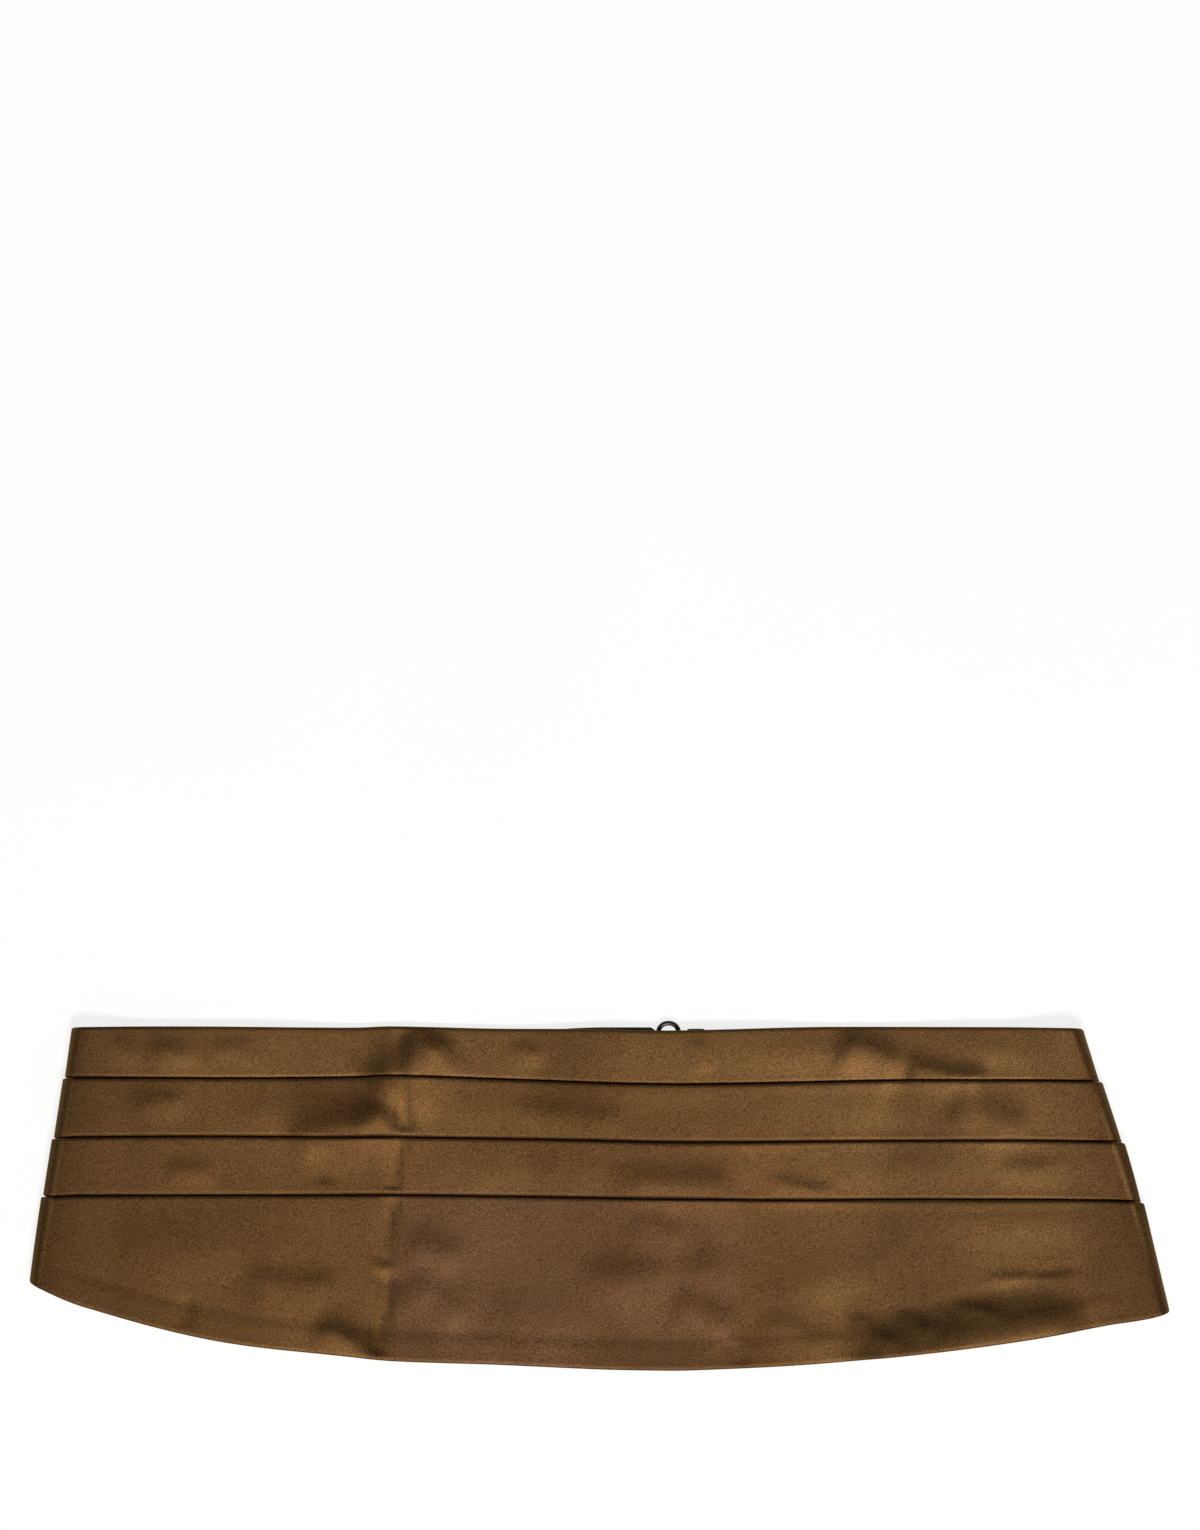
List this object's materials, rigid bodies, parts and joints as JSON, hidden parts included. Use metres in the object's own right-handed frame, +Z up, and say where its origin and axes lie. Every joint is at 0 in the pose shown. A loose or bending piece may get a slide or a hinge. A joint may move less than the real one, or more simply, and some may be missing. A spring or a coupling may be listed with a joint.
{
  "type": "cummerbund",
  "caption": "Pleated satin waist sash laid flat, its ends turned under and joined by a narrow strap with a wire loop and a flat hook.",
  "frame": {"origin": "on the surface that it lies on, under the middle of its outline", "axes": "+X from the left side fold to the right one, as seen in the picture; +Y towards the straight edge that the pleats open towards; +Z up, out of the satin's face"},
  "size_m": [0.4399, 0.1351, 0.0099],
  "materials": {
    "satin": "bronze-brown satin with a soft sheen",
    "strap": "navy-black ribbon, slightly glossy",
    "hardware": "black enamelled metal"
  },
  "bodies": {
    "root": {"pleated_panel": "satin", "strap_left": "strap", "strap_right": "strap", "closure_loop": "hardware", "closure_hook": "hardware"}
  },
  "joints": []
}
